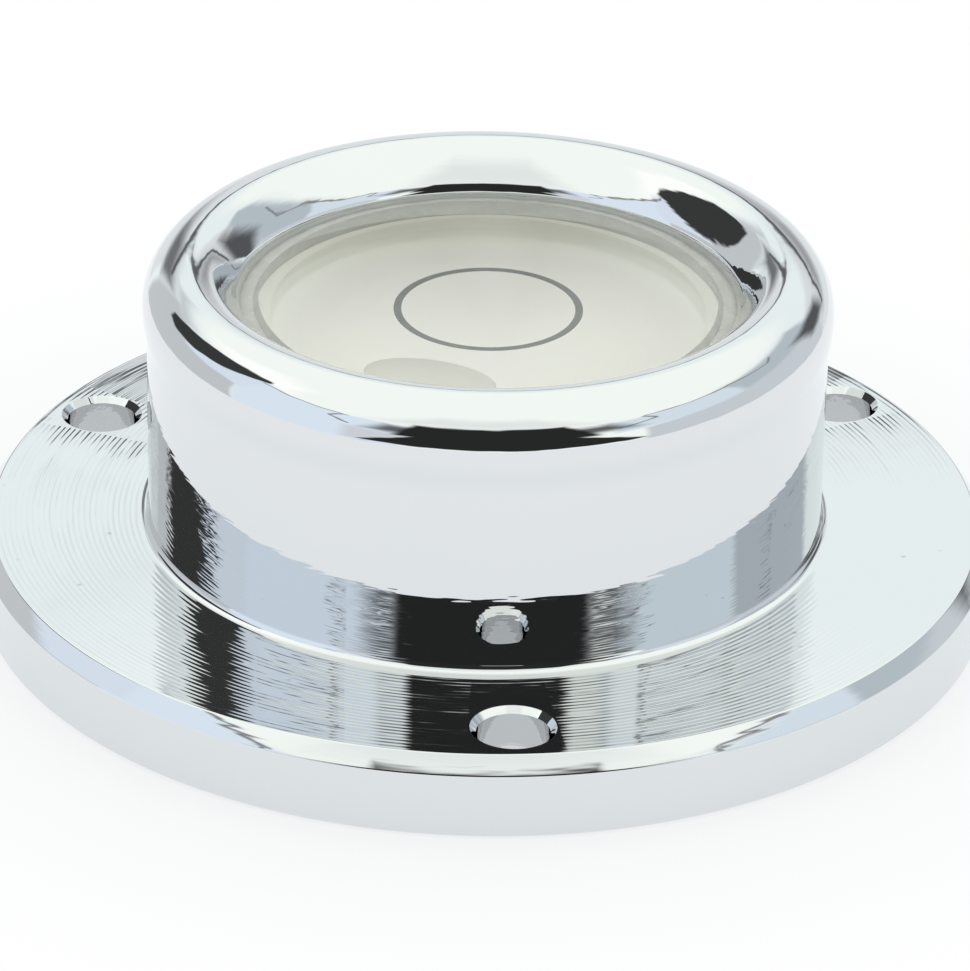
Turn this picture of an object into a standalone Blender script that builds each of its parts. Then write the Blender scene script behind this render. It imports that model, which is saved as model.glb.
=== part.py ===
"""Round spirit level (bullseye level) with a mounting flange.

A turned brass housing, bright plated, holds a sealed glass vial that is cemented into its bore.
Units are metres and +Z is up. The origin is the centre of the underside, and the screw hole at the
front lies on -Y.
"""

import math

import bmesh
import bpy

MM = 0.001

# Target ring on the underside of the lid
RING_RADIUS = 5.35 * MM
RING_LINE = 0.4 * MM
RING_THICKNESS = 0.2 * MM

# Bubble, which rests under the lid between the ring and the edge of the vial
BUBBLE_LENGTH = 7.9 * MM
BUBBLE_WIDTH = 4.5 * MM
BUBBLE_DEPTH = 1.6 * MM
BUBBLE_BEARING = math.radians(-114)
RING_TO_BUBBLE = 1.75 * MM
BUBBLE_TO_LIQUID_EDGE = 0.7 * MM

# Vial, which is wide enough for its bubble to lie clear of the ring
GLASS_WALL = 1.0 * MM
GLASS_CHAMFER = 0.3 * MM
LID_THICKNESS = 2.0 * MM
LID_HOLLOW_RADIUS = 230 * MM
LIQUID_DEPTH = 5.2 * MM
BASE_THICKNESS = 1.6 * MM
BASE_EDGE_BREAK = 0.2 * MM

# Cement between the vial and the bore
CEMENT_THICKNESS = 0.3 * MM
CEMENT_BED = 0.5 * MM
CEMENT_BELOW_GLASS = 0.25 * MM

# Clearance between neighbouring pieces
FIT_GAP = 0.25 * MM

# Housing
LIP_WIDTH = 5.7 * MM
LIP_OVERHANG = 0.25 * MM
LIP_CREST_ROUND = 1.95 * MM
LIP_EDGE_ROUND = 1.45 * MM
LIP_SLOPE = math.radians(49)
LEDGE_WIDTH = 10.0 * MM
FLANGE_THICKNESS = 5.0 * MM
BODY_RISE = 16.5 * MM
GLASS_RECESS = 2.55 * MM
FOOT_FILLET = 0.55 * MM
CHAMFER_WIDTH = 0.75 * MM
CHAMFER_DEPTH = 1.0 * MM
BOTTOM_EDGE_BREAK = 0.3 * MM

# Screw holes in the flange
HOLE_COUNT = 3
HOLE_RADIUS = 2.1 * MM
HOLE_CHAMFER = 0.35 * MM
HOLE_INSET = 3.8 * MM
FIRST_HOLE_BEARING = math.radians(-90)
CUTTER_OVERRUN = 1.0 * MM

# Facets round the axis of each kind of turned surface
HOUSING_SEGMENTS = 96
VIAL_SEGMENTS = 64
HOLE_SEGMENTS = 32
BUBBLE_SEGMENTS = 40
LIP_STEPS = 9
LIP_INNER_STEPS = 4
FILLET_STEPS = 4
DOME_STEPS = 4
BEAD_STEPS = 4
BUBBLE_STEPS = 8

SHARP_ANGLE = math.radians(30)
MERGE_DISTANCE = 0.001 * MM

# Radii that follow from the sizes above, from the inside out
ring_inner = RING_RADIUS - RING_LINE / 2
ring_outer = RING_RADIUS + RING_LINE / 2
bubble_distance = ring_outer + RING_TO_BUBBLE + BUBBLE_WIDTH / 2
liquid_radius = bubble_distance + BUBBLE_WIDTH / 2 + BUBBLE_TO_LIQUID_EDGE
cavity_radius = liquid_radius + FIT_GAP
vial_radius = cavity_radius + GLASS_WALL
bore_radius = vial_radius + CEMENT_THICKNESS + 2 * FIT_GAP
lip_round = LIP_WIDTH / 2
crest_radius = bore_radius + lip_round
wall_radius = bore_radius + LIP_WIDTH - LIP_OVERHANG
flange_radius = wall_radius + LEDGE_WIDTH
hole_circle_radius = flange_radius - HOLE_INSET

# Heights that follow from the sizes above, from the top down
housing_top = FLANGE_THICKNESS + BODY_RISE
glass_top = housing_top - GLASS_RECESS
lid_apex = glass_top - LID_THICKNESS
base_top = lid_apex - LIQUID_DEPTH
vial_bottom = base_top - BASE_THICKNESS
bed_top = vial_bottom - FIT_GAP
bed_bottom = bed_top - CEMENT_BED
bore_floor = bed_bottom - FIT_GAP


def clear_scene():
    for thing in list(bpy.data.objects):
        bpy.data.objects.remove(thing, do_unlink=True)


def make_material(name, colour, roughness, metallic=0.0, transmission=0.0):
    material = bpy.data.materials.new(name)
    material.use_nodes = True
    shader = material.node_tree.nodes["Principled BSDF"]
    shader.inputs["Base Color"].default_value = (*colour, 1.0)
    shader.inputs["Roughness"].default_value = roughness
    shader.inputs["Metallic"].default_value = metallic
    shader.inputs["Transmission Weight"].default_value = transmission
    material.diffuse_color = (*colour, 1.0)
    return material


def arc(centre, radius, start_degrees, end_degrees, steps):
    """Points of an arc in the (radius, height) plane, both ends included."""
    points = []
    for step in range(steps + 1):
        angle = math.radians(start_degrees + (end_degrees - start_degrees) * step / steps)
        points.append((centre[0] + radius * math.cos(angle), centre[1] + radius * math.sin(angle)))
    return points


def turn(name, outline, segments, material, ring=False):
    """Turn an outline of (radius, height) points about the Z axis into one closed body.

    The outline starts and ends on the axis, unless ring says that it closes on itself.
    """
    mesh_data = bmesh.new()
    corners = [mesh_data.verts.new((radius, 0, height)) for radius, height in outline]
    edges = [mesh_data.edges.new(pair) for pair in zip(corners, corners[1:])]
    if ring:
        edges.append(mesh_data.edges.new((corners[-1], corners[0])))
    bmesh.ops.spin(
        mesh_data,
        geom=corners + edges,
        cent=(0, 0, 0),
        axis=(0, 0, 1),
        angle=math.tau,
        steps=segments,
        use_merge=True,
    )
    bmesh.ops.remove_doubles(mesh_data, verts=mesh_data.verts, dist=MERGE_DISTANCE)
    bmesh.ops.recalc_face_normals(mesh_data, faces=mesh_data.faces)
    mesh = bpy.data.meshes.new(name)
    mesh_data.to_mesh(mesh)
    mesh_data.free()
    shade(mesh)
    if material:
        mesh.materials.append(material)
    piece = bpy.data.objects.new(name, mesh)
    bpy.context.scene.collection.objects.link(piece)
    return piece


def shade(mesh):
    mesh.shade_smooth()
    mesh.set_sharp_from_angle(angle=SHARP_ANGLE)


def cut(piece, cutters):
    """Cut with each cutter in turn, take the result as the piece's own mesh and drop the cutters."""
    for cutter in cutters:
        boolean = piece.modifiers.new(cutter.name, "BOOLEAN")
        boolean.operation = "DIFFERENCE"
        boolean.object = cutter
    evaluated = piece.evaluated_get(bpy.context.evaluated_depsgraph_get())
    piece.data = bpy.data.meshes.new_from_object(evaluated)
    piece.modifiers.clear()
    shade(piece.data)
    for cutter in cutters:
        bpy.data.objects.remove(cutter, do_unlink=True)


def lid_underside(radius):
    """Height of the hollow-ground underside of the lid, highest on the axis."""
    return lid_apex - LID_HOLLOW_RADIUS + math.sqrt(LID_HOLLOW_RADIUS**2 - radius**2)


def dome(outer_radius, inner_radius, drop):
    """Points that run inwards at a set drop below the underside of the lid."""
    points = []
    for step in range(DOME_STEPS + 1):
        radius = outer_radius + (inner_radius - outer_radius) * step / DOME_STEPS
        points.append((radius, lid_underside(radius) - drop))
    return points


def make_housing():
    plate = make_material("bright_plate", (0.80, 0.80, 0.81), 0.06, metallic=1.0)
    rim = flange_radius
    outline = [
        (0, 0),
        (rim - BOTTOM_EDGE_BREAK, 0),
        (rim, BOTTOM_EDGE_BREAK),
        (rim, FLANGE_THICKNESS - CHAMFER_DEPTH),
        (rim - CHAMFER_WIDTH, FLANGE_THICKNESS),
    ]
    fillet_centre = (wall_radius + FOOT_FILLET, FLANGE_THICKNESS + FOOT_FILLET)
    outline += arc(fillet_centre, FOOT_FILLET, 270, 180, FILLET_STEPS)
    outline += lip_outline()
    outline += [(bore_radius, bore_floor), (0, bore_floor)]
    housing = turn("housing", outline, HOUSING_SEGMENTS, plate)
    cut(housing, [make_hole_cutter(index) for index in range(HOLE_COUNT)])


def lip_outline():
    """The rounded lip, which overhangs the wall a little outside and slopes down to the bore inside."""
    undercut_degrees = math.degrees(math.acos(1 - LIP_OVERHANG / lip_round))
    slope_degrees = math.degrees(LIP_SLOPE)
    slope_start = crest_radius - LIP_CREST_ROUND * math.sin(LIP_SLOPE)
    slope_end = bore_radius + LIP_EDGE_ROUND * (1 - math.sin(LIP_SLOPE))
    crest_fall = LIP_CREST_ROUND * (1 - math.cos(LIP_SLOPE))
    slope_fall = (slope_start - slope_end) * math.tan(LIP_SLOPE)
    edge_fall = LIP_EDGE_ROUND * math.cos(LIP_SLOPE)
    lip_foot = housing_top - crest_fall - slope_fall - edge_fall
    outside_centre = (crest_radius, housing_top - lip_round)
    crest_centre = (crest_radius, housing_top - LIP_CREST_ROUND)
    edge_centre = (bore_radius + LIP_EDGE_ROUND, lip_foot)
    outside = arc(outside_centre, lip_round, -undercut_degrees, 90, LIP_STEPS)
    crest = arc(crest_centre, LIP_CREST_ROUND, 90, 90 + slope_degrees, LIP_INNER_STEPS)
    edge = arc(edge_centre, LIP_EDGE_ROUND, 90 + slope_degrees, 180, LIP_INNER_STEPS)
    return outside + crest[1:] + edge


def make_hole_cutter(index):
    """A drill with a countersink at each end, set on the hole circle."""
    flare = HOLE_RADIUS + HOLE_CHAMFER + CUTTER_OVERRUN
    outline = [
        (0, -CUTTER_OVERRUN),
        (flare, -CUTTER_OVERRUN),
        (HOLE_RADIUS, HOLE_CHAMFER),
        (HOLE_RADIUS, FLANGE_THICKNESS - HOLE_CHAMFER),
        (flare, FLANGE_THICKNESS + CUTTER_OVERRUN),
        (0, FLANGE_THICKNESS + CUTTER_OVERRUN),
    ]
    cutter = turn(f"hole_cutter_{index + 1}", outline, HOLE_SEGMENTS, None)
    bearing = FIRST_HOLE_BEARING + math.tau * index / HOLE_COUNT
    cutter.location = (hole_circle_radius * math.cos(bearing), hole_circle_radius * math.sin(bearing), 0)
    return cutter


def make_vial_glass():
    glass = make_material("clear_glass", (0.93, 0.95, 0.91), 0.02, transmission=1.0)
    outline = [
        (0, glass_top),
        (vial_radius - GLASS_CHAMFER, glass_top),
        (vial_radius, glass_top - GLASS_CHAMFER),
        (vial_radius, vial_bottom),
        (cavity_radius, vial_bottom),
    ]
    outline += dome(cavity_radius, 0, 0)
    turn("vial_glass", outline, VIAL_SEGMENTS, glass)


def make_vial_base():
    cream = make_material("cream_enamel", (0.80, 0.79, 0.70), 0.45)
    radius = cavity_radius - FIT_GAP
    outline = [
        (0, vial_bottom),
        (radius - BASE_EDGE_BREAK, vial_bottom),
        (radius, vial_bottom + BASE_EDGE_BREAK),
        (radius, base_top - BASE_EDGE_BREAK),
        (radius - BASE_EDGE_BREAK, base_top),
        (0, base_top),
    ]
    turn("vial_base", outline, VIAL_SEGMENTS, cream)


def make_target_ring():
    grey = make_material("ring_grey", (0.28, 0.29, 0.25), 0.5)
    top = lid_underside(ring_outer) - FIT_GAP
    bottom = top - RING_THICKNESS
    outline = [(ring_inner, bottom), (ring_outer, bottom), (ring_outer, top), (ring_inner, top)]
    turn("target_ring", outline, VIAL_SEGMENTS, grey, ring=True)


def make_vial_liquid():
    """The spirit, with a groove that clears the ring and a dent that the bubble fills."""
    spirit = make_material("spirit", (0.94, 0.95, 0.86), 0.02, transmission=1.0)
    groove_outer = ring_outer + FIT_GAP
    groove_inner = ring_inner - FIT_GAP
    groove_floor = lid_underside(groove_outer) - RING_THICKNESS - 2 * FIT_GAP
    bottom = base_top + FIT_GAP
    outline = [(0, bottom), (liquid_radius, bottom)]
    outline += dome(liquid_radius, groove_outer, FIT_GAP)
    outline += [(groove_outer, groove_floor), (groove_inner, groove_floor)]
    outline += dome(groove_inner, 0, FIT_GAP)
    liquid = turn("vial_liquid", outline, VIAL_SEGMENTS, spirit)
    dent = turn("bubble_dent", arc((0, 0), 1, -90, 90, 2 * BUBBLE_STEPS), BUBBLE_SEGMENTS, None)
    place_under_lid(dent, FIT_GAP)
    cut(liquid, [dent])


def make_bubble():
    air = make_material("air_bubble", (0.85, 0.86, 0.80), 0.02, transmission=1.0)
    outline = arc((0, 0), 1, -90, 0, BUBBLE_STEPS) + [(0, 0)]
    bubble = turn("bubble", outline, BUBBLE_SEGMENTS, air)
    place_under_lid(bubble, 0)


def place_under_lid(piece, margin):
    """Size a unit shape as the bubble, a margin larger, and lay it along the slope of the lid."""
    half_sizes = (BUBBLE_WIDTH / 2 + margin, BUBBLE_LENGTH / 2 + margin, BUBBLE_DEPTH + margin)
    for vertex in piece.data.vertices:
        vertex.co = [part * half_size for part, half_size in zip(vertex.co, half_sizes)]
    piece.location = (
        bubble_distance * math.cos(BUBBLE_BEARING),
        bubble_distance * math.sin(BUBBLE_BEARING),
        lid_underside(bubble_distance) - FIT_GAP,
    )
    lid_slope = math.asin(bubble_distance / LID_HOLLOW_RADIUS)
    piece.rotation_euler = (0, lid_slope, BUBBLE_BEARING)


def make_vial_cement():
    """Bed under the vial and sleeve round it, with a rounded bead along the top."""
    cement = make_material("cement", (0.33, 0.36, 0.31), 0.4)
    inner = vial_radius + FIT_GAP
    outer = inner + CEMENT_THICKNESS
    bead_radius = CEMENT_THICKNESS / 2
    bead_centre = (inner + bead_radius, glass_top - CEMENT_BELOW_GLASS - bead_radius)
    outline = [(0, bed_bottom), (outer, bed_bottom)]
    outline += arc(bead_centre, bead_radius, 0, 180, BEAD_STEPS)
    outline += [(inner, bed_top), (0, bed_top)]
    turn("vial_cement", outline, VIAL_SEGMENTS, cement)


def main():
    clear_scene()
    make_housing()
    make_vial_cement()
    make_vial_glass()
    make_vial_base()
    make_vial_liquid()
    make_target_ring()
    make_bubble()


main()
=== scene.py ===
"""Looks of the bullseye level: plating, glass, light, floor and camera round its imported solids.

Units are metres and +Z is up. The screw hole at the front lies on -Y.
"""

import math

import bmesh
import bpy
from mathutils import Matrix, Vector, noise


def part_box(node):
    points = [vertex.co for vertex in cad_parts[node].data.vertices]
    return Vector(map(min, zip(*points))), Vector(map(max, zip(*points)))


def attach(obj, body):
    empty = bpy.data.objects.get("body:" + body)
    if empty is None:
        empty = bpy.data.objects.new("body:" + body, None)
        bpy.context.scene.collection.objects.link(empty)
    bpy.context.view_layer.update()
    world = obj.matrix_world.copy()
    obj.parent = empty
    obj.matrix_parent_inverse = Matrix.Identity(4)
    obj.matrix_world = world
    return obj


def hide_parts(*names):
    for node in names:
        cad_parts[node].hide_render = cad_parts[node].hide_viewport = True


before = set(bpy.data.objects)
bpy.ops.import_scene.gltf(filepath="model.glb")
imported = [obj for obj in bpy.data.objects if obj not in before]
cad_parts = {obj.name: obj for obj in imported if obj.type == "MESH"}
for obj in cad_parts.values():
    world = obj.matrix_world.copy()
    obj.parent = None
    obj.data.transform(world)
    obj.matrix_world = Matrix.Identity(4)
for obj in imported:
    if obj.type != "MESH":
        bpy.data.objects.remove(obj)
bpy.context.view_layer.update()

MM = 0.001

# Camera, as the photograph was taken
CAMERA_BEARING = math.radians(-4.01)
CAMERA_ELEVATION = math.radians(26.729)
CAMERA_DISTANCE = 355 * MM
CAMERA_AIM_HEIGHT = 12.17 * MM
CAMERA_TILT_DOWN = math.radians(0.81)
CAMERA_ROLL = math.radians(1.062)
CAMERA_LENS = 222.94
CAMERA_CLIP_START = 10 * MM

# Housing
LIP_WIDTH = 5.7 * MM
LIP_OVERHANG = 0.25 * MM
LIP_FOOT_ROUND = 6.8 * MM
LIP_SLOPE_ROUND = 9.0 * MM
LIP_EDGE_ROUND = 1.45 * MM
LIP_SLOPE_START = math.radians(42)
LIP_SLOPE_END = math.radians(55)
LEDGE_WIDTH = 10.0 * MM
FLANGE_THICKNESS = 5.0 * MM
FOOT_FILLET = 0.55 * MM
CHAMFER_WIDTH = 0.75 * MM
CHAMFER_DEPTH = 1.0 * MM
CHAMFER_TOP_ROUND = 0.12 * MM
CHAMFER_FOOT_ROUND = 0.2 * MM
BOTTOM_EDGE_BREAK = 0.3 * MM
BOTTOM_EDGE_ROUND = 0.15 * MM
BORE_FLOOR = 9.15 * MM
HOLE_COUNT = 3
HOLE_RADIUS = 2.1 * MM
HOLE_CHAMFER = 0.35 * MM
HOLE_INSET = 3.8 * MM
FIRST_HOLE_BEARING = math.radians(-90)
CUTTER_OVERRUN = 1.0 * MM

# Vial
GLASS_WALL = 1.0 * MM
GLASS_CHAMFER = 0.3 * MM
LID_THICKNESS = 2.0 * MM
LID_HOLLOW_RADIUS = 230 * MM
COAT_TOP = 15.9 * MM
RING_LINE = 0.45 * MM
RING_FILM = 0.02 * MM
BUBBLE_LENGTH = 7.9 * MM
BUBBLE_WIDTH = 4.5 * MM
BUBBLE_DEPTH = 1.6 * MM
BUBBLE_BEARING = math.radians(-114)
BUBBLE_DISTANCE = 9.55 * MM
BASE_EDGE_ROUND = 0.1 * MM

# Cement, crowned and uneven on top
CEMENT_CROWN = 0.1 * MM
CEMENT_RIPPLE_SCALE = 600

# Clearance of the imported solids, which the bubble keeps to the lid and the bed of cement to the glass
FIT_GAP = 0.25 * MM

# How far liquid, glass and paint reach into each other, so that no film of air lies between them
WETTING = 0.02 * MM

HOUSING_SEGMENTS = 384
VIAL_SEGMENTS = 192
HOLE_SEGMENTS = 96
BUBBLE_SEGMENTS = 96
SHARP_ANGLE = math.radians(30)
MERGE_DISTANCE = 0.0001 * MM

# How steeply a face may lean and still count as level or upright, and how far it may be off a radius
LEVEL_WITHIN = math.radians(1)
UPRIGHT_WITHIN = math.radians(6)
RADIUS_TOLERANCE = 0.1 * MM

# Light that the plate gives back, as a share
PLATE_REFLECTANCE = 0.76

# Soft waves and faint tool marks that polishing leaves in the plate
WAVE_SCALE = 230
WAVE_HEIGHT = 0.010 * MM
MARK_PITCH = 0.35 * MM
MARK_SWING = 9.0
MARK_HEIGHT = 0.005 * MM

# Feed of the tool that turned the flange, and the depth of the groove that it left
GROOVE_PITCH = 0.34 * MM
GROOVE_DEPTH = 0.0028 * MM
GROOVE_CHANGE_PITCH = 0.8 * MM
GROOVE_CHANGE_SWING = 5.0

# Enamel, with painted shade behind that gives way to painted light in front over this reach to each side of
# the axis, and painted light up this much of its side
PAINTED_SHADE_REACH = 9 * MM
PAINTED_LIGHT_RISE = 1.5 * MM

# Floor, which keeps a share of the object's shadow near the axis and none farther out
FLOOR_RADIUS = 115 * MM
FLOOR_DROP = 0.02 * MM
SHADOW_SHARE = 0.25
SHADOW_FULL_TO = 28 * MM
SHADOW_GONE_AT = 54 * MM

# White of floor and backdrop, and the slightly blue white that the plate shows of the floor
WHITE = (1.0, 1.0, 1.0, 1.0)
WHITE_IN_PLATE = (0.99, 1.02, 1.05, 1.0)

# Elevations in degrees between which the studio's ground meets its backdrop
GROUND_EDGE = (-9.0, -7.0)

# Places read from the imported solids, and the sizes that follow from them
housing_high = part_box("housing")[1]
glass_low, glass_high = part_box("vial_glass")
base_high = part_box("vial_base")[1]
ring_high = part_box("target_ring")[1]
cement_low, cement_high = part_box("vial_cement")

flange_radius = housing_high.x
housing_top = housing_high.z
wall_radius = flange_radius - LEDGE_WIDTH
bore_radius = wall_radius + LIP_OVERHANG - LIP_WIDTH
lip_round = LIP_WIDTH / 2
crest_radius = bore_radius + lip_round
hole_circle_radius = flange_radius - HOLE_INSET
vial_radius = glass_high.x
cavity_radius = vial_radius - GLASS_WALL
glass_top = glass_high.z
vial_bottom = glass_low.z
base_top = base_high.z
lid_apex = glass_top - LID_THICKNESS


class Graph:
    """Short calls for the nodes of one material or world."""

    def __init__(self, tree):
        self.tree = tree
        tree.nodes.clear()

    def add(self, kind, **settings):
        node = self.tree.nodes.new(kind)
        for name, value in settings.items():
            setattr(node, name, value)
        return node

    def feed(self, socket, value):
        """Link an output into a socket, or set the socket's own value."""
        if isinstance(value, bpy.types.NodeSocket):
            self.tree.links.new(value, socket)
        else:
            socket.default_value = value

    def math(self, operation, *values, clamp=False):
        node = self.add("ShaderNodeMath", operation=operation, use_clamp=clamp)
        for socket, value in zip(node.inputs, values):
            self.feed(socket, value)
        return node.outputs[0]

    def vector(self, operation, *values, scale=None):
        node = self.add("ShaderNodeVectorMath", operation=operation)
        for socket, value in zip(node.inputs, values):
            self.feed(socket, value)
        if scale is not None:
            self.feed(node.inputs["Scale"], scale)
        return node.outputs["Value" if operation in ("DOT_PRODUCT", "LENGTH") else "Vector"]

    def split(self, vector):
        node = self.add("ShaderNodeSeparateXYZ")
        self.feed(node.inputs[0], vector)
        return node.outputs

    def join(self, x, y, z):
        node = self.add("ShaderNodeCombineXYZ")
        for socket, value in zip(node.inputs, (x, y, z)):
            self.feed(socket, value)
        return node.outputs[0]

    def ramp(self, value, low, high, out_low=0.0, out_high=1.0):
        """Map a value smoothly from one range to another, and hold it at their ends."""
        node = self.add("ShaderNodeMapRange", interpolation_type="SMOOTHSTEP")
        for socket, number in zip(node.inputs, (value, low, high, out_low, out_high)):
            self.feed(socket, number)
        return node.outputs[0]

    def mix(self, share, first, second):
        """Blend two colours."""
        node = self.add("ShaderNodeMix", data_type="RGBA")
        self.feed(node.inputs["Factor"], share)
        for socket, colour in zip(node.inputs[6:8], (first, second)):
            self.feed(socket, colour)
        return node.outputs[2]

    def noise(self, vector, scale, detail=2.0, roughness=0.5):
        node = self.add("ShaderNodeTexNoise")
        self.feed(node.inputs["Vector"], vector)
        self.feed(node.inputs["Scale"], scale)
        self.feed(node.inputs["Detail"], detail)
        self.feed(node.inputs["Roughness"], roughness)
        return node.outputs["Fac"]

    def spots(self, vector, scale, size):
        """Small round spots, 1 inside and 0 outside."""
        node = self.add("ShaderNodeTexVoronoi")
        self.feed(node.inputs["Vector"], vector)
        self.feed(node.inputs["Scale"], scale)
        return self.ramp(node.outputs["Distance"], 0.0, size, 1.0, 0.0)

    def bump(self, height):
        """Surface normal for a height in metres."""
        node = self.add("ShaderNodeBump")
        self.feed(node.inputs["Height"], height)
        self.feed(node.inputs["Distance"], 1.0)
        return node.outputs[0]

    def place(self):
        """The point being shaded, in metres from the object's origin."""
        return self.add("ShaderNodeTexCoord").outputs["Object"]

    def principled(self, **values):
        node = self.add("ShaderNodeBsdfPrincipled")
        for name, value in values.items():
            self.feed(node.inputs[name.replace("_", " ")], value)
        return node.outputs[0]

    def surface(self, shader):
        self.feed(self.add("ShaderNodeOutputMaterial").inputs["Surface"], shader)


def linear(red, green, blue):
    """Linear colour of screen values from 0 to 255."""
    parts = []
    for value in (red, green, blue):
        share = value / 255
        parts.append(share / 12.92 if share <= 0.04045 else ((share + 0.055) / 1.055) ** 2.4)
    return (*parts, 1.0)


def new_material(name):
    material = bpy.data.materials.new(name)
    material.use_nodes = True
    return material, Graph(material.node_tree)


def round_the_axis(graph, place):
    """Distance from the axis, and the direction from it as two shares."""
    x, y = graph.split(place)[:2]
    flat = graph.join(x, y, 0.0)
    toward_x, toward_y = graph.split(graph.vector("NORMALIZE", flat))[:2]
    return graph.vector("LENGTH", flat), toward_x, toward_y


def tool_marks(graph, place, pitch, swing):
    """Uneven marks from 0 to 1 that run round the axis, narrow across it and long along it."""
    radius, toward_x, toward_y = round_the_axis(graph, place)
    node = graph.add("ShaderNodeTexNoise", noise_dimensions="4D")
    across = graph.math("DIVIDE", radius, pitch)
    up = graph.math("DIVIDE", graph.split(place)[2], pitch)
    graph.feed(node.inputs["Vector"], graph.join(across, up, graph.math("MULTIPLY", toward_x, swing)))
    graph.feed(node.inputs["W"], graph.math("MULTIPLY", toward_y, swing))
    graph.feed(node.inputs["Scale"], 1.0)
    graph.feed(node.inputs["Detail"], 1.0)
    return node.outputs["Fac"]


def plate_ripple(graph, place):
    """Height of the soft waves and faint tool marks that polishing leaves in the plate."""
    waves = graph.math("MULTIPLY", graph.noise(place, WAVE_SCALE, detail=2.0), WAVE_HEIGHT)
    marks = graph.math("MULTIPLY", tool_marks(graph, place, MARK_PITCH, MARK_SWING), MARK_HEIGHT)
    return graph.math("ADD", waves, marks)


def groove_height(graph, place):
    """Height of the turned groove, which keeps its pitch and is deeper in some turns than in others."""
    radius = round_the_axis(graph, place)[0]
    wave = graph.math("SINE", graph.math("MULTIPLY", radius, math.tau / GROOVE_PITCH))
    change = tool_marks(graph, place, GROOVE_CHANGE_PITCH, GROOVE_CHANGE_SWING)
    depth = graph.ramp(change, 0.3, 0.7, 0.2, 1.0)
    return graph.math("MULTIPLY", graph.math("MULTIPLY", wave, depth), GROOVE_DEPTH)


def polished_plate():
    material, graph = new_material("polished_plate")
    place = graph.place()
    haze = graph.noise(place, 90, detail=4.0)
    graph.surface(
        graph.principled(
            Base_Color=graph.mix(haze, (0.75, 0.76, 0.765, 1.0), (0.77, 0.775, 0.775, 1.0)),
            Metallic=1.0,
            Roughness=graph.ramp(haze, 0.3, 0.7, 0.01, 0.03),
            Normal=graph.bump(plate_ripple(graph, place)),
        )
    )
    return material


def turned_plate():
    material, graph = new_material("turned_plate")
    place = graph.place()
    pits = graph.spots(place, 420, 0.10)
    height = graph.math("ADD", groove_height(graph, place), plate_ripple(graph, place))
    graph.surface(
        graph.principled(
            Base_Color=graph.mix(pits, (0.76, 0.77, 0.77, 1.0), (0.5, 0.5, 0.5, 1.0)),
            Metallic=1.0,
            Roughness=graph.ramp(graph.noise(place, 600, detail=3.0), 0.3, 0.7, 0.02, 0.05),
            Normal=graph.bump(height),
        )
    )
    return material


def clear_to_matt(graph):
    """Alpha of a clear piece: light that a matt surface has scattered goes straight through it."""
    path = graph.add("ShaderNodeLightPath").outputs
    scattered = graph.math("MAXIMUM", path["Is Diffuse Ray"], path["Is Shadow Ray"])
    return graph.math("SUBTRACT", 1.0, scattered)


def clear_glass():
    material, graph = new_material("clear_glass")
    place = graph.place()
    faint = graph.math("MULTIPLY", graph.noise(place, 120, detail=1.0), 0.001 * MM)
    graph.surface(
        graph.principled(
            Base_Color=graph.mix(graph.noise(place, 60), (0.985, 0.99, 0.98, 1.0), (1.0, 1.0, 0.995, 1.0)),
            Roughness=0.0,
            IOR=1.5,
            Transmission_Weight=1.0,
            Alpha=clear_to_matt(graph),
            Normal=graph.bump(faint),
        )
    )
    return material


def spirit():
    material, graph = new_material("spirit")
    place = graph.place()
    graph.surface(
        graph.principled(
            Base_Color=graph.mix(graph.noise(place, 80), (0.99, 0.99, 0.965, 1.0), (1.0, 1.0, 0.985, 1.0)),
            Roughness=0.0,
            IOR=1.47,
            Transmission_Weight=1.0,
            Alpha=clear_to_matt(graph),
        )
    )
    return material


def joined_clear():
    """The join of glass and spirit, which bend light so nearly alike that it doesn't show."""
    material, graph = new_material("joined_clear")
    clear = graph.add("ShaderNodeBsdfTransparent")
    tint = graph.mix(graph.noise(graph.place(), 80), (0.985, 0.99, 0.98, 1.0), (1.0, 1.0, 0.99, 1.0))
    graph.feed(clear.inputs["Color"], tint)
    graph.surface(clear.outputs[0])
    return material


def air():
    """The bubble, a little dark, so that it stands out from the enamel as in the photograph."""
    material, graph = new_material("air")
    place = graph.place()
    graph.surface(
        graph.principled(
            # The grey tint of the air is painted shade; clear air has no colour of its own.
            Base_Color=graph.mix(graph.noise(place, 200), (0.79, 0.79, 0.77, 1.0), (0.82, 0.82, 0.80, 1.0)),
            Roughness=0.0,
            IOR=1.0,
            Transmission_Weight=1.0,
            Alpha=clear_to_matt(graph),
        )
    )
    return material


def cream_enamel():
    """Cream enamel, greyer at the back of the vial with painted shade, and paler at the front and up its
    side with painted light.
    """
    material, graph = new_material("cream_enamel")
    place = graph.place()
    blotches = graph.ramp(graph.noise(place, 110, detail=3.0), 0.35, 0.7)
    y, z = graph.split(place)[1:3]
    toward_painted_light = graph.ramp(y, PAINTED_SHADE_REACH, -PAINTED_SHADE_REACH)
    # The greyer colour behind is painted shade, and the paler colour in front is painted light.
    behind = graph.mix(blotches, (0.85, 0.82, 0.785, 1.0), (0.87, 0.84, 0.79, 1.0))
    lit_in_front = graph.mix(blotches, (0.945, 0.91, 0.855, 1.0), (0.96, 0.925, 0.84, 1.0))
    flat = graph.mix(toward_painted_light, behind, lit_in_front)
    # Paler up the side of the coat: painted light.
    painted_light_up_side = graph.ramp(z, base_top, base_top + PAINTED_LIGHT_RISE)
    colour = graph.mix(painted_light_up_side, flat, (0.97, 0.94, 0.86, 1.0))
    grain = graph.math("MULTIPLY", graph.noise(place, 2500, detail=2.0), 0.004 * MM)
    graph.surface(graph.principled(Base_Color=colour, Roughness=0.45, Normal=graph.bump(grain)))
    return material


def ring_print():
    material, graph = new_material("ring_print")
    wear = graph.noise(graph.place(), 1800, detail=2.0)
    colour = graph.mix(wear, (0.10, 0.105, 0.09, 1.0), (0.16, 0.165, 0.145, 1.0))
    graph.surface(graph.principled(Base_Color=colour, Roughness=0.5))
    return material


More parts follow.
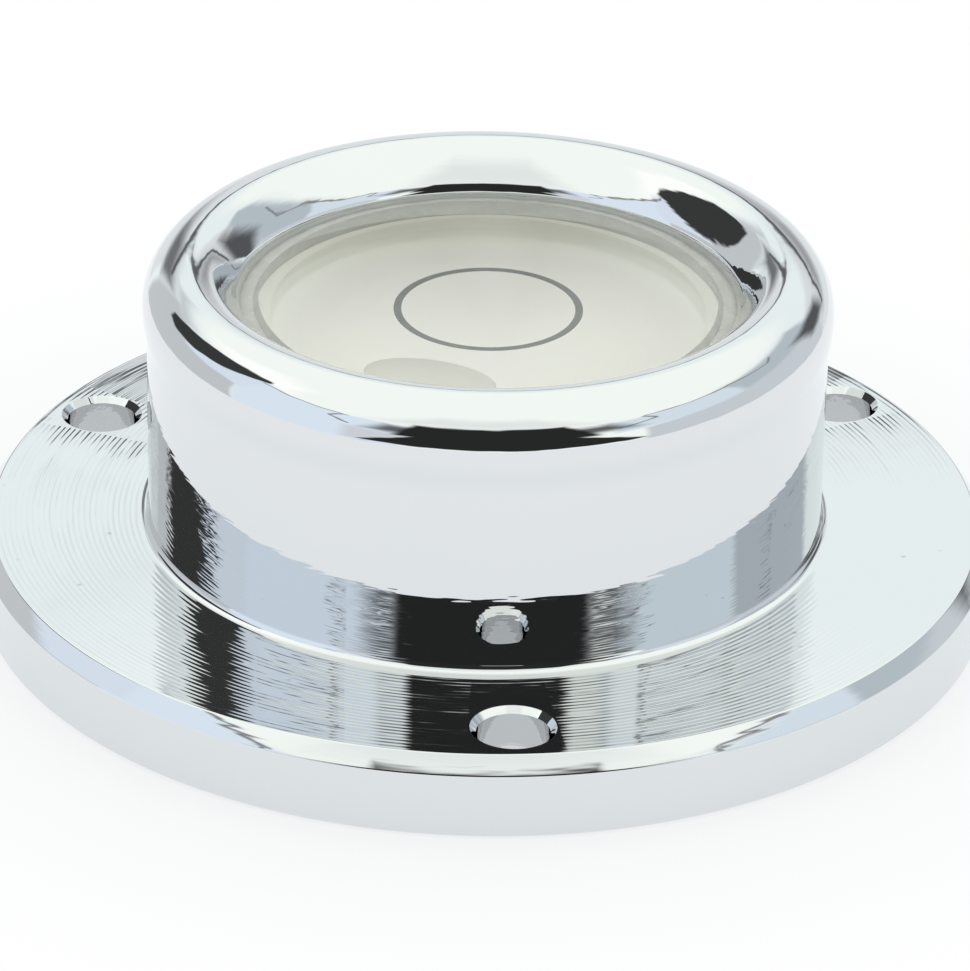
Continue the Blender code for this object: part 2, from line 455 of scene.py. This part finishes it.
def vial_cement():
    material, graph = new_material("vial_cement")
    place = graph.place()
    mottle = graph.noise(place, 700, detail=4.0, roughness=0.6)
    colour = graph.mix(mottle, (0.46, 0.455, 0.42, 1.0), (0.64, 0.635, 0.59, 1.0))
    grains = graph.spots(place, 1700, 0.22)
    colour = graph.mix(graph.math("MULTIPLY", grains, 0.5), colour, (0.8, 0.82, 0.76, 1.0))
    height = graph.math("MULTIPLY", mottle, 0.05 * MM)
    graph.surface(graph.principled(Base_Color=colour, Roughness=0.35, Normal=graph.bump(height)))
    return material


def arc(centre, radius, start_degrees, end_degrees, steps):
    """Points of an arc in the (radius, height) plane, both ends included."""
    points = []
    for step in range(steps + 1):
        angle = math.radians(start_degrees + (end_degrees - start_degrees) * step / steps)
        points.append((centre[0] + radius * math.cos(angle), centre[1] + radius * math.sin(angle)))
    return points


def rounded(before, corner, after, radius, steps=6):
    """Points of a round of this radius that takes the place of a corner between two straight runs."""
    here = Vector(corner)
    back = (Vector(before) - here).normalized()
    onward = (Vector(after) - here).normalized()
    half_opening = back.angle(onward) / 2
    reach = radius / math.tan(half_opening)
    centre = here + (back + onward).normalized() * radius / math.sin(half_opening)
    first = here + back * reach - centre
    last = here + onward * reach - centre
    sweep = first.angle_signed(last)
    points = []
    for step in range(steps + 1):
        spoke = Matrix.Rotation(-sweep * step / steps, 2) @ first
        points.append(tuple(centre + spoke))
    return points


def turn(name, outline, segments, materials, ring=False):
    """Turn an outline of (radius, height) points about the Z axis into one closed body."""
    mesh_data = bmesh.new()
    corners = [mesh_data.verts.new((radius, 0, height)) for radius, height in outline]
    edges = [mesh_data.edges.new(pair) for pair in zip(corners, corners[1:])]
    if ring:
        edges.append(mesh_data.edges.new((corners[-1], corners[0])))
    bmesh.ops.spin(
        mesh_data,
        geom=corners + edges,
        cent=(0, 0, 0),
        axis=(0, 0, 1),
        angle=math.tau,
        steps=segments,
        use_merge=True,
    )
    bmesh.ops.remove_doubles(mesh_data, verts=mesh_data.verts, dist=MERGE_DISTANCE)
    bmesh.ops.recalc_face_normals(mesh_data, faces=mesh_data.faces)
    mesh = bpy.data.meshes.new(name)
    mesh_data.to_mesh(mesh)
    mesh_data.free()
    for material in materials:
        mesh.materials.append(material)
    shade(mesh)
    piece = bpy.data.objects.new(name, mesh)
    bpy.context.scene.collection.objects.link(piece)
    return piece


def shade(mesh):
    mesh.shade_smooth()
    mesh.set_sharp_from_angle(angle=SHARP_ANGLE)


def cut(piece, cutters):
    """Cut with each cutter in turn, take the result as the piece's own mesh and drop the cutters."""
    for cutter in cutters:
        boolean = piece.modifiers.new(cutter.name, "BOOLEAN")
        boolean.operation = "DIFFERENCE"
        boolean.object = cutter
    evaluated = piece.evaluated_get(bpy.context.evaluated_depsgraph_get())
    piece.data = bpy.data.meshes.new_from_object(evaluated)
    piece.modifiers.clear()
    shade(piece.data)
    for cutter in cutters:
        bpy.data.objects.remove(cutter, do_unlink=True)


def stand_for(piece, node):
    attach(piece, "root")
    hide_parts(node)


def lid_underside(radius):
    """Height of the hollow-ground underside of the lid, highest on the axis."""
    return lid_apex - LID_HOLLOW_RADIUS + math.sqrt(LID_HOLLOW_RADIUS**2 - radius**2)


def dome(outer_radius, rise, steps=12):
    """Points that run inwards to the axis along the underside of the lid, a little above it."""
    radii = [outer_radius * (1 - step / steps) for step in range(steps + 1)]
    return [(radius, lid_underside(radius) + rise) for radius in radii]


def make_housing():
    rim = flange_radius
    centre_bottom = (0, 0)
    bottom_edge = (rim - BOTTOM_EDGE_BREAK, 0)
    side_foot = (rim, BOTTOM_EDGE_BREAK)
    side_top = (rim, FLANGE_THICKNESS - CHAMFER_DEPTH)
    ledge_edge = (rim - CHAMFER_WIDTH, FLANGE_THICKNESS)
    wall_foot = (wall_radius, FLANGE_THICKNESS)
    wall_top = (wall_radius, housing_top - lip_round)
    outline = [centre_bottom, (rim / 2, 0)]
    outline += rounded(centre_bottom, bottom_edge, side_foot, BOTTOM_EDGE_ROUND)
    outline += rounded(bottom_edge, side_foot, side_top, BOTTOM_EDGE_ROUND)
    outline += rounded(side_foot, side_top, ledge_edge, CHAMFER_FOOT_ROUND, steps=12)
    outline += rounded(side_top, ledge_edge, wall_foot, CHAMFER_TOP_ROUND)
    outline += rounded(ledge_edge, wall_foot, wall_top, FOOT_FILLET, steps=12)
    outline += lip_outline()
    outline += [(bore_radius, BORE_FLOOR), (0, BORE_FLOOR)]
    housing = turn("bright_housing", outline, HOUSING_SEGMENTS, [polished_plate(), turned_plate()])
    cut(housing, [make_hole_cutter(index) for index in range(HOLE_COUNT)])
    for face in housing.data.polygons:
        lies_flat = abs(face.normal.z) > math.cos(LEVEL_WITHIN)
        if lies_flat and face.center.z < FLANGE_THICKNESS + FOOT_FILLET:
            face.material_index = 1
    stand_for(housing, "housing")


def lip_outline():
    """The rounded lip, from its foot on the wall over the crest and down its inner slope to the bore."""
    outside_centre = (crest_radius, housing_top - lip_round)
    outline = lip_foot(outside_centre[1])
    outline += arc(outside_centre, lip_round, 0, 90, 40)[1:]
    outline += lip_slope()[1:]
    return outline


def lip_foot(top):
    """The S-curve of two equal arcs by which the lip swells out from the wall, up to this height."""
    undercut = math.acos(1 - LIP_OVERHANG / (2 * LIP_FOOT_ROUND))
    undercut_degrees = math.degrees(undercut)
    swell_centre = (wall_radius + LIP_OVERHANG - LIP_FOOT_ROUND, top)
    foot_fall = 2 * LIP_FOOT_ROUND * math.sin(undercut)
    foot_centre = (wall_radius + LIP_FOOT_ROUND, top - foot_fall)
    foot = arc(foot_centre, LIP_FOOT_ROUND, 180, 180 - undercut_degrees, 8)
    swell = arc(swell_centre, LIP_FOOT_ROUND, -undercut_degrees, 0, 8)
    return foot + swell[1:]


def lip_slope():
    """The inner slope of three arcs, each tangent to the next: crest, long slope and edge of the bore."""
    edge_run = LIP_EDGE_ROUND * (1 - math.sin(LIP_SLOPE_END))
    slope_run = LIP_SLOPE_ROUND * (math.sin(LIP_SLOPE_END) - math.sin(LIP_SLOPE_START))
    crest_round = (lip_round - edge_run - slope_run) / math.sin(LIP_SLOPE_START)
    crest_centre = (crest_radius, housing_top - crest_round)
    slope_shift = LIP_SLOPE_ROUND - crest_round
    slope_centre = (
        crest_centre[0] + slope_shift * math.sin(LIP_SLOPE_START),
        crest_centre[1] - slope_shift * math.cos(LIP_SLOPE_START),
    )
    edge_shift = LIP_SLOPE_ROUND - LIP_EDGE_ROUND
    edge_centre = (
        slope_centre[0] - edge_shift * math.sin(LIP_SLOPE_END),
        slope_centre[1] + edge_shift * math.cos(LIP_SLOPE_END),
    )
    crest_end = 90 + math.degrees(LIP_SLOPE_START)
    slope_end = 90 + math.degrees(LIP_SLOPE_END)
    crest = arc(crest_centre, crest_round, 90, crest_end, 20)
    slope = arc(slope_centre, LIP_SLOPE_ROUND, crest_end, slope_end, 16)
    edge = arc(edge_centre, LIP_EDGE_ROUND, slope_end, 180, 18)
    return crest + slope[1:] + edge[1:]


def make_hole_cutter(index):
    """A drill with a countersink at each end, set on the hole circle."""
    flare = HOLE_RADIUS + HOLE_CHAMFER + CUTTER_OVERRUN
    outline = [
        (0, -CUTTER_OVERRUN),
        (flare, -CUTTER_OVERRUN),
        (HOLE_RADIUS, HOLE_CHAMFER),
        (HOLE_RADIUS, FLANGE_THICKNESS - HOLE_CHAMFER),
        (flare, FLANGE_THICKNESS + CUTTER_OVERRUN),
        (0, FLANGE_THICKNESS + CUTTER_OVERRUN),
    ]
    cutter = turn(f"hole_cutter_{index + 1}", outline, HOLE_SEGMENTS, [])
    bearing = FIRST_HOLE_BEARING + math.tau * index / HOLE_COUNT
    cutter.location = (hole_circle_radius * math.cos(bearing), hole_circle_radius * math.sin(bearing), 0)
    return cutter


def stands_at(face, radius):
    """Whether a face is part of an upright wall of this radius."""
    upright = abs(face.normal.z) < math.sin(UPRIGHT_WITHIN)
    return upright and abs(face.center.xy.length - radius) < RADIUS_TOLERANCE


def make_glass(cream, cement, joined):
    """The glass, coated cream outside up to the coat's edge and bonded to the cement above it."""
    outline = [
        (0, glass_top),
        (vial_radius - GLASS_CHAMFER, glass_top),
        (vial_radius, glass_top - GLASS_CHAMFER),
        (vial_radius, COAT_TOP),
        (vial_radius, vial_bottom),
        (cavity_radius, vial_bottom),
    ]
    outline += dome(cavity_radius, 0)
    glass = turn("vial_glass_clear", outline, VIAL_SEGMENTS, [clear_glass(), cream, cement, joined])
    for face in glass.data.polygons:
        underneath = face.center.z < vial_bottom + WETTING
        on_chamfer = math.sin(UPRIGHT_WITHIN) < face.normal.z < math.cos(SHARP_ANGLE)
        if underneath or (stands_at(face, vial_radius) and face.center.z < COAT_TOP):
            face.material_index = 1
        elif on_chamfer or stands_at(face, vial_radius):
            face.material_index = 2
        elif stands_at(face, cavity_radius):
            face.material_index = 3
    stand_for(glass, "vial_glass")


def make_base(cream):
    radius = cavity_radius - WETTING
    outline = [(0, vial_bottom), (radius, vial_bottom)]
    outline += rounded((radius, vial_bottom), (radius, base_top), (0, base_top), BASE_EDGE_ROUND)
    outline += [(0, base_top)]
    base = turn("vial_base_enamel", outline, VIAL_SEGMENTS, [cream])
    stand_for(base, "vial_base")


def make_coat(cream):
    """The enamel that lines the vial, thick in its corner and thin at its upper edge."""
    radius = vial_radius - WETTING
    round_radius = COAT_TOP - base_top
    foot = base_top - WETTING
    outline = arc((radius - round_radius, COAT_TOP), round_radius, 0, -90, 32)
    outline += [(radius - round_radius, foot), (radius, foot)]
    coat = turn("vial_coat", outline, VIAL_SEGMENTS, [cream], ring=True)
    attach(coat, "root")


def make_ring():
    """The ring, printed on the underside of the lid."""
    outer = ring_high.x
    inner = outer - RING_LINE
    top = lid_underside(outer) - RING_FILM
    bottom = top - RING_FILM
    outline = [(inner, bottom), (outer, bottom), (outer, top), (inner, top)]
    ring = turn("target_ring_line", outline, VIAL_SEGMENTS, [ring_print()], ring=True)
    stand_for(ring, "target_ring")


def make_liquid(joined):
    radius = cavity_radius + WETTING
    outline = [(0, base_top - WETTING), (radius, base_top - WETTING)] + dome(radius, WETTING)
    liquid = turn("spirit_fill", outline, VIAL_SEGMENTS, [spirit(), joined])
    dent = turn("bubble_dent", bubble_outline(), BUBBLE_SEGMENTS, [])
    place_under_lid(dent, WETTING)
    cut(liquid, [dent])
    for face in liquid.data.polygons:
        if stands_at(face, radius):
            face.material_index = 1
    stand_for(liquid, "vial_liquid")


def make_bubble():
    bubble = turn("air_pocket", bubble_outline(), BUBBLE_SEGMENTS, [air()])
    place_under_lid(bubble, 0)
    stand_for(bubble, "bubble")


def bubble_outline():
    """A unit half ball with its flat side up."""
    return arc((0, 0), 1, -90, 0, 16) + [(0, 0)]


def place_under_lid(piece, margin):
    """Size a unit half ball as the bubble, a margin larger all round, and lay it along the lid."""
    size = (BUBBLE_WIDTH / 2 + margin, BUBBLE_LENGTH / 2 + margin, BUBBLE_DEPTH + 2 * margin)
    place = Vector((BUBBLE_DISTANCE, 0, lid_underside(BUBBLE_DISTANCE) - FIT_GAP + margin))
    slope = Matrix.Rotation(math.asin(BUBBLE_DISTANCE / LID_HOLLOW_RADIUS), 4, "Y")
    bearing = Matrix.Rotation(BUBBLE_BEARING, 4, "Z")
    piece.data.transform(bearing @ Matrix.Translation(place) @ slope @ Matrix.Diagonal((*size, 1)))


def make_cement(cement):
    """The cement, as a cup round and under the vial, a little crowned and uneven on top."""
    inner = vial_radius
    outer = bore_radius
    top = cement_high.z
    outline = [
        (0, cement_low.z),
        (outer, cement_low.z),
        (outer, top - CEMENT_CROWN),
        ((outer + inner) / 2, top),
        (inner, top - CEMENT_CROWN / 2),
        (inner, vial_bottom - FIT_GAP),
        (0, vial_bottom - FIT_GAP),
    ]
    sleeve = turn("cement_sleeve", outline, HOUSING_SEGMENTS, [cement])
    for vertex in sleeve.data.vertices:
        if vertex.co.z > top - 2 * CEMENT_CROWN:
            vertex.co.z -= CEMENT_CROWN * abs(noise.noise(vertex.co * CEMENT_RIPPLE_SCALE))
    stand_for(sleeve, "vial_cement")


def floor_material():
    """Pale floor, white to the camera, which keeps a share of the object's shadow near it."""
    material, graph = new_material("floor")
    place = graph.place()
    colour = graph.mix(graph.noise(place, 20), (0.87, 0.90, 0.93, 1.0), (0.89, 0.92, 0.95, 1.0))
    diffuse = graph.add("ShaderNodeBsdfDiffuse")
    graph.feed(diffuse.inputs["Color"], colour)
    distance = graph.vector("LENGTH", place)
    shadow_share = graph.ramp(distance, SHADOW_FULL_TO, SHADOW_GONE_AT, SHADOW_SHARE, 0.0)
    path = graph.add("ShaderNodeLightPath").outputs
    seen_white = graph.math("MAXIMUM", path["Is Camera Ray"], path["Is Glossy Ray"])
    white = graph.add("ShaderNodeEmission")
    graph.feed(white.inputs["Color"], graph.mix(path["Is Glossy Ray"], WHITE, WHITE_IN_PLATE))
    whiteness = graph.math("MULTIPLY", seen_white, graph.math("SUBTRACT", 1.0, shadow_share))
    blend = graph.add("ShaderNodeMixShader")
    graph.feed(blend.inputs[0], whiteness)
    graph.feed(blend.inputs[1], diffuse.outputs[0])
    graph.feed(blend.inputs[2], white.outputs[0])
    graph.surface(blend.outputs[0])
    return material


def make_floor():
    mesh_data = bmesh.new()
    bmesh.ops.create_circle(mesh_data, cap_ends=True, segments=128, radius=FLOOR_RADIUS)
    mesh = bpy.data.meshes.new("floor")
    mesh_data.to_mesh(mesh)
    mesh_data.free()
    mesh.materials.append(floor_material())
    floor = bpy.data.objects.new("floor", mesh)
    floor.location.z = -FLOOR_DROP
    bpy.context.scene.collection.objects.link(floor)


def seen(red, green, blue):
    """Light that shows in the plate as these screen values from 0 to 255."""
    return (*(part / PLATE_REFLECTANCE for part in linear(red, green, blue)[:3]), 1.0)


def card(graph, direction, corners, softness):
    """1 inside a convex card and 0 outside it. Corners are (bearing, elevation), anticlockwise."""
    inside = None
    for start, end in zip(corners, corners[1:] + corners[:1]):
        along = (Vector(end) - Vector(start)).normalized()
        offset = along.y * start[0] - along.x * start[1]
        depth = graph.vector("DOT_PRODUCT", direction, (-along.y, along.x, offset))
        inside = depth if inside is None else graph.math("MINIMUM", inside, depth)
    return graph.ramp(inside, -softness, softness)


def seam(direction, points, width, softness, colour):
    """Thin straight cards from each direction to the next."""
    layers = []
    for start, end in zip(points, points[1:]):
        start, end = Vector(start), Vector(end)
        aside = (end - start).normalized().orthogonal() * width / 2
        corners = [tuple(start - aside), tuple(end - aside), tuple(end + aside), tuple(start + aside)]
        layers.append((direction, corners, softness, colour))
    return layers


def studio(graph):
    """What stands round the object: a white dome with panels, seams and a few dark things.

    A layer is a direction, a card's corners, the softness of its edge and its colour.

    Directions are degrees of bearing, from the camera's side and to its right, and of elevation.
    """
    x, y, z = graph.split(graph.add("ShaderNodeTexCoord").outputs["Generated"])
    bearing = graph.math("DEGREES", graph.math("ARCTAN2", x, graph.math("MULTIPLY", y, -1.0)))
    bearing = graph.math("SUBTRACT", bearing, math.degrees(CAMERA_BEARING))
    elevation = graph.math("DEGREES", graph.math("ARCSINE", z))
    from_front = graph.join(graph.math("WRAP", bearing, 180.0, -180.0), elevation, 1.0)
    behind = graph.math("ADD", bearing, 180.0)
    from_back = graph.join(graph.math("WRAP", behind, 180.0, -180.0), elevation, 1.0)

    ground = graph.ramp(elevation, *GROUND_EDGE, 1.0, 0.0)
    light = graph.mix(ground, seen(241, 246, 241), seen(222, 228, 234))
    layers = lamps(from_front) + walls(from_front, from_back) + corners_behind(from_back)
    layers += seams(from_front, from_back) + dark_things(from_front)
    for direction, corners, softness, colour in layers:
        light = graph.mix(card(graph, direction, corners, softness), light, colour)
    return light


def lamps(from_front):
    """The soft patch high in front, and the bright lamp on the left."""
    return [
        (from_front, [(-40, 42), (40, 42), (24, 62), (-24, 62)], 8, seen(222, 228, 226)),
        (from_front, [(-135, 40), (-80, 40), (-88, 56), (-122, 56)], 6, seen(253, 254, 252)),
    ]


def walls(from_front, from_back):
    """Pale panels behind, to the left and to the right, and a greyer one low behind."""
    return [
        (from_back, [(-72, -30), (75, -30), (75, 35), (-72, 35)], 5, seen(227, 235, 236)),
        (from_front, [(-152, -30), (-88, -30), (-88, 29), (-146, 27)], 2, seen(188, 192, 195)),
        (from_front, [(-88, -30), (-30, -30), (-22, 36), (-50, 37), (-88, 38)], 1.5, seen(214, 225, 237)),
        (from_front, [(-46, -8), (-38, -8), (-24, 16), (-46, 16)], 3, seen(200, 205, 210)),
        (from_front, [(-118, 14), (-86, 14), (-86, 40), (-118, 31)], 2, seen(210, 220, 232)),
        (from_front, [(-158, 26), (-134, 26), (-132, 31), (-158, 31)], 4, seen(190, 196, 199)),
        (from_front, [(52, -30), (150, -30), (137, 20), (92, 20), (52, 12)], 2, seen(194, 200, 205)),
        (from_front, [(90, 14), (138, 14), (138, 31), (90, 34)], 3, seen(176, 185, 192)),
        (from_front, [(42, 13), (92, 13), (92, 34), (42, 36)], 2.5, seen(208, 219, 228)),
        (from_back, [(-42, -30), (28, -30), (26, 18), (0, 24), (-42, 20)], 2, seen(212, 216, 218)),
    ]


def corners_behind(from_back):
    """Soft dark corners of the room behind the object."""
    return [
        (from_back, [(-35, 0), (-12, 8), (-2, 23), (-27, 12.5)], 5, seen(150, 152, 155)),
        (from_back, [(-56, 19), (-50, 3), (-36, 2), (-34, 14), (-42, 18)], 4, seen(80, 82, 84)),
        (from_back, [(12, 8), (29, 8), (31, 22), (12, 22)], 5, seen(108, 110, 112)),
    ]


def seams(from_front, from_back):
    """Thin grey seams between the panels."""
    grey = seen(132, 134, 136)
    layers = seam(from_back, [(-35, 1), (-27, 12.5), (0, 25), (25, 20)], 1.6, 0.6, seen(90, 92, 94))
    layers += seam(from_front, [(-90, 38), (-50, 36.5)], 1.2, 0.5, grey)
    layers += seam(from_front, [(-52, 36), (-54.5, 28), (-46, 22)], 1.4, 0.5, grey)
    layers += seam(from_front, [(57, 36), (60, 28), (44, 21)], 1.4, 0.5, grey)
    layers += seam(from_front, [(58, 36), (95, 33), (112, 26), (118, 30)], 1.2, 0.5, grey)
    return layers


def dark_things(from_front):
    """A dark thing on the left, and the dark stand of the camera, which has soft sides."""
    soot = seen(54, 55, 55)
    dark = seen(38, 39, 39)
    left_thing = [
        (-133, 16), (-127, 14.5), (-112, 19), (-101, 26), (-95, 33), (-89, 41),
        (-92, 44), (-106, 42), (-120, 36), (-131, 28), (-136, 21),
    ]
    return [
        (from_front, left_thing, 1, soot),
        (from_front, [(-41, -6), (52, -6), (26, 20), (-20, 20)], 1, dark),
        (from_front, [(-40, 20), (50, 20), (44, 34), (-35, 34)], 5, seen(95, 97, 99)),
        (from_front, [(-30, 15), (37, 15), (29, 42), (-26, 42)], 2, dark),
    ]


def make_world():
    """The studio as the object sees it. To the camera and through glass it is plain white."""
    world = bpy.data.worlds.new("studio")
    world.use_nodes = True
    world.cycles.sampling_method = "NONE"
    bpy.context.scene.world = world
    graph = Graph(world.node_tree)
    path = graph.add("ShaderNodeLightPath").outputs
    plain = graph.math("MAXIMUM", path["Is Camera Ray"], path["Is Transmission Ray"])
    background = graph.add("ShaderNodeBackground")
    graph.feed(background.inputs["Color"], graph.mix(plain, studio(graph), WHITE))
    graph.feed(graph.add("ShaderNodeOutputWorld").inputs["Surface"], background.outputs[0])


def make_camera():
    camera_data = bpy.data.cameras.new("camera")
    camera_data.lens = CAMERA_LENS
    camera_data.clip_start = CAMERA_CLIP_START
    camera = bpy.data.objects.new("camera", camera_data)
    bpy.context.scene.collection.objects.link(camera)
    bpy.context.scene.camera = camera
    turn_to_object = Matrix.Rotation(CAMERA_BEARING, 4, "Z")
    back = -CAMERA_DISTANCE * math.cos(CAMERA_ELEVATION)
    height = CAMERA_DISTANCE * math.sin(CAMERA_ELEVATION) + CAMERA_AIM_HEIGHT
    look_down = Matrix.Rotation(math.radians(90) - CAMERA_ELEVATION - CAMERA_TILT_DOWN, 4, "X")
    roll = Matrix.Rotation(CAMERA_ROLL, 4, "Z")
    camera.matrix_world = turn_to_object @ Matrix.Translation((0, back, height)) @ look_down @ roll


def main():
    bpy.context.scene.view_settings.view_transform = "Standard"
    cream = cream_enamel()
    cement = vial_cement()
    joined = joined_clear()
    make_housing()
    make_cement(cement)
    make_glass(cream, cement, joined)
    make_base(cream)
    make_coat(cream)
    make_liquid(joined)
    make_ring()
    make_bubble()
    make_floor()
    make_world()
    make_camera()


main()
